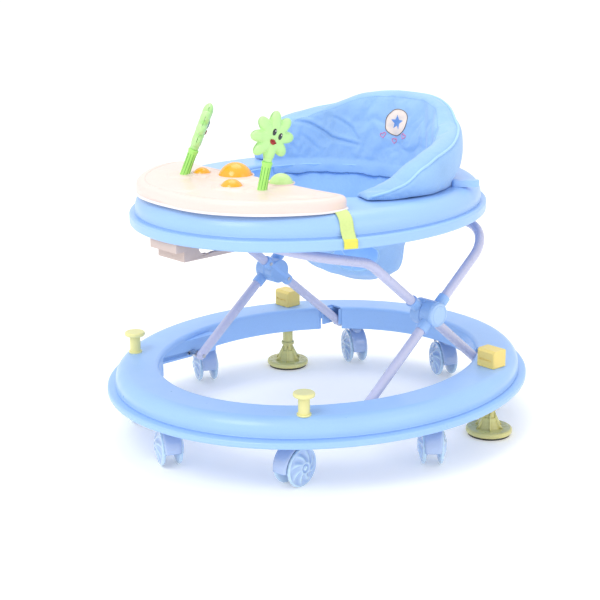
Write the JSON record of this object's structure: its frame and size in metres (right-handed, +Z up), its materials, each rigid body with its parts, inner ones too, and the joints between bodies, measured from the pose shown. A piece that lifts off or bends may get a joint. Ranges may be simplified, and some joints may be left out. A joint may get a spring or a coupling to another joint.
{
  "type": "baby walker",
  "caption": "Folding baby walker: oval base ring on twin-wheel casters, scissor tube frame, tray ring with toy plate and flower toys, padded backrest and hung cloth seat.",
  "frame": {"origin": "on the floor under the centre of the base ring", "axes": "+Z up, -Y the front of the walker, +X the child's left hand side"},
  "size_m": [0.6199, 0.707, 0.5275],
  "materials": {
    "ring_blue": "satin moulded polypropylene",
    "caster_blue": "glossy translucent",
    "hub_blue": "satin",
    "tube_lilac": "powder coated steel",
    "steel": "bright",
    "buffer_yellow": "satin",
    "brake_olive": "glossy",
    "rubber_black": "matte",
    "rack_beige": "satin",
    "toy_peach": "satin",
    "dome_orange": "glossy",
    "toy_green": "glossy",
    "stalk_green": "satin",
    "strap_yellow": "woven",
    "cloth_blue": "woven, padded"
  },
  "bodies": {
    "base": {"base_ring": "ring_blue", "caster_sockets": "ring_blue", "front_buffers": "buffer_yellow", "foot_tracks": "ring_blue", "rear_foot_brackets": "ring_blue", "rear_foot_pins": "steel"},
    "inner_bar": {"front_upper_tube": "tube_lilac", "rear_leg_left": "tube_lilac", "rear_leg_right": "tube_lilac", "rear_foot_plugs": "hub_blue", "hub_inner_halves": "hub_blue", "hub_pins": "steel"},
    "outer_bar": {"rear_upper_tube": "tube_lilac", "front_leg_left": "tube_lilac", "front_leg_right": "tube_lilac", "front_foot_plugs": "hub_blue", "front_sliders": "steel", "hub_outer_halves": "hub_blue", "hub_caps": "hub_blue"},
    "tray": {"tray_ring": "ring_blue", "tray_clamps": "ring_blue", "height_rack": "rack_beige", "toy_tray": "toy_peach", "tray_straps": "strap_yellow", "green_dome": "toy_green", "flower_stalk_left": "stalk_green", "flower_stalk_right": "stalk_green", "backrest_pad": "cloth_blue", "backrest_tabs": "ring_blue", "seat_sling": "cloth_blue", "seat_hooks": "ring_blue"},
    "caster_1": {"caster_1_fork": "caster_blue"},
    "wheels_1": {"caster_1_wheels": "caster_blue"},
    "caster_2": {"caster_2_fork": "caster_blue"},
    "wheels_2": {"caster_2_wheels": "caster_blue"},
    "caster_3": {"caster_3_fork": "caster_blue"},
    "wheels_3": {"caster_3_wheels": "caster_blue"},
    "caster_4": {"caster_4_fork": "caster_blue"},
    "wheels_4": {"caster_4_wheels": "caster_blue"},
    "caster_5": {"caster_5_fork": "caster_blue"},
    "wheels_5": {"caster_5_wheels": "caster_blue"},
    "caster_6": {"caster_6_fork": "caster_blue"},
    "wheels_6": {"caster_6_wheels": "caster_blue"},
    "caster_7": {"caster_7_fork": "caster_blue"},
    "wheels_7": {"caster_7_wheels": "caster_blue"},
    "caster_8": {"caster_8_fork": "caster_blue"},
    "wheels_8": {"caster_8_wheels": "caster_blue"},
    "brake_left": {"brake_block_left": "buffer_yellow", "brake_foot_left": "brake_olive", "brake_rubber_left": "rubber_black"},
    "brake_right": {"brake_block_right": "buffer_yellow", "brake_foot_right": "brake_olive", "brake_rubber_right": "rubber_black"},
    "button_large": {"orange_dome_large": "dome_orange"},
    "button_middle": {"orange_dome_middle": "dome_orange"},
    "button_small": {"orange_dome_small": "dome_orange"},
    "flower_toy_left": {"flower_left": "toy_green"},
    "flower_toy_right": {"flower_right": "toy_green"}
  },
  "joints": [
    {"name": "fold", "type": "hinge", "parent": "base", "child": "inner_bar", "pos_m": [0, 0.208, 0.082], "axis": [1, 0, 0], "range_deg": [-6, 24]},
    {"name": "hub_fold", "type": "hinge", "parent": "inner_bar", "child": "outer_bar", "pos_m": [0, 0.057, 0.204], "axis": [1, 0, 0], "range_deg": [-48.5, 12.5]},
    {"name": "tray_level", "type": "hinge", "parent": "outer_bar", "child": "tray", "pos_m": [0, 0.1962, 0.31647], "axis": [1, 0, 0], "range_deg": [-7.6, 30]},
    {"name": "caster_1_swivel", "type": "hinge", "parent": "base", "child": "caster_1", "pos_m": [0, -0.306, 0.085], "axis": [0, 0, 1], "continuous": true},
    {"name": "caster_1_roll", "type": "hinge", "parent": "caster_1", "child": "wheels_1", "pos_m": [-0.01079, -0.30074, 0.03], "axis": [0.4384, 0.8988, 0], "continuous": true},
    {"name": "caster_2_swivel", "type": "hinge", "parent": "base", "child": "caster_2", "pos_m": [0.175, -0.228, 0.085], "axis": [0, 0, 1], "continuous": true},
    {"name": "caster_2_roll", "type": "hinge", "parent": "caster_2", "child": "wheels_2", "pos_m": [0.17395, -0.21605, 0.03], "axis": [0.9962, 0.0872, 0], "continuous": true},
    {"name": "caster_3_swivel", "type": "hinge", "parent": "base", "child": "caster_3", "pos_m": [0.2625, -0.02, 0.085], "axis": [0, 0, 1], "continuous": true},
    {"name": "caster_3_roll", "type": "hinge", "parent": "caster_3", "child": "wheels_3", "pos_m": [0.25372, -0.01182, 0.03], "axis": [0.682, 0.7314, 0], "continuous": true},
    {"name": "caster_4_swivel", "type": "hinge", "parent": "base", "child": "caster_4", "pos_m": [0.159, 0.243, 0.085], "axis": [0, 0, 1], "continuous": true},
    {"name": "caster_4_roll", "type": "hinge", "parent": "caster_4", "child": "wheels_4", "pos_m": [0.14821, 0.24826, 0.03], "axis": [0.4384, 0.8988, 0], "continuous": true},
    {"name": "caster_5_swivel", "type": "hinge", "parent": "base", "child": "caster_5", "pos_m": [0, 0.306, 0.085], "axis": [0, 0, 1], "continuous": true},
    {"name": "caster_5_roll", "type": "hinge", "parent": "caster_5", "child": "wheels_5", "pos_m": [-0.01079, 0.31126, 0.03], "axis": [0.4384, 0.8988, 0], "continuous": true},
    {"name": "caster_6_swivel", "type": "hinge", "parent": "base", "child": "caster_6", "pos_m": [-0.159, 0.243, 0.085], "axis": [0, 0, 1], "continuous": true},
    {"name": "caster_6_roll", "type": "hinge", "parent": "caster_6", "child": "wheels_6", "pos_m": [-0.16979, 0.24826, 0.03], "axis": [0.4384, 0.8988, 0], "continuous": true},
    {"name": "caster_7_swivel", "type": "hinge", "parent": "base", "child": "caster_7", "pos_m": [-0.2625, -0.02, 0.085], "axis": [0, 0, 1], "continuous": true},
    {"name": "caster_7_roll", "type": "hinge", "parent": "caster_7", "child": "wheels_7", "pos_m": [-0.27329, -0.01474, 0.03], "axis": [0.4384, 0.8988, 0], "continuous": true},
    {"name": "caster_8_swivel", "type": "hinge", "parent": "base", "child": "caster_8", "pos_m": [-0.175, -0.228, 0.085], "axis": [0, 0, 1], "continuous": true},
    {"name": "caster_8_roll", "type": "hinge", "parent": "caster_8", "child": "wheels_8", "pos_m": [-0.18579, -0.22274, 0.03], "axis": [0.4384, 0.8988, 0], "continuous": true},
    {"name": "brake_left_lift", "type": "slide", "parent": "base", "child": "brake_left", "axis": [0, 0, 1], "range_m": [0, 0.018]},
    {"name": "brake_right_lift", "type": "slide", "parent": "base", "child": "brake_right", "axis": [0, 0, 1], "range_m": [0, 0.018]},
    {"name": "button_large_press", "type": "slide", "parent": "tray", "child": "button_large", "axis": [0, 0, -1], "range_m": [0, 0.003], "stiffness_N_per_m": 400, "springref_m": -0.002},
    {"name": "button_middle_press", "type": "slide", "parent": "tray", "child": "button_middle", "axis": [0, 0, -1], "range_m": [0, 0.003], "stiffness_N_per_m": 400, "springref_m": -0.002},
    {"name": "button_small_press", "type": "slide", "parent": "tray", "child": "button_small", "axis": [0, 0, -1], "range_m": [0, 0.003], "stiffness_N_per_m": 400, "springref_m": -0.002},
    {"name": "flower_left_turn", "type": "hinge", "parent": "tray", "child": "flower_toy_left", "pos_m": [0.08566, -0.18532, 0.46099], "axis": [0.1301, 0.1395, 0.9816], "continuous": true},
    {"name": "flower_right_turn", "type": "hinge", "parent": "tray", "child": "flower_toy_right", "pos_m": [-0.07456, -0.18759, 0.45835], "axis": [0.2444, 0.2621, 0.9336], "continuous": true}
  ],
  "couplings": [
    {"joint": "hub_fold", "follows": "fold", "ratio": -2},
    {"joint": "tray_level", "follows": "fold", "ratio": 1.24}
  ]
}
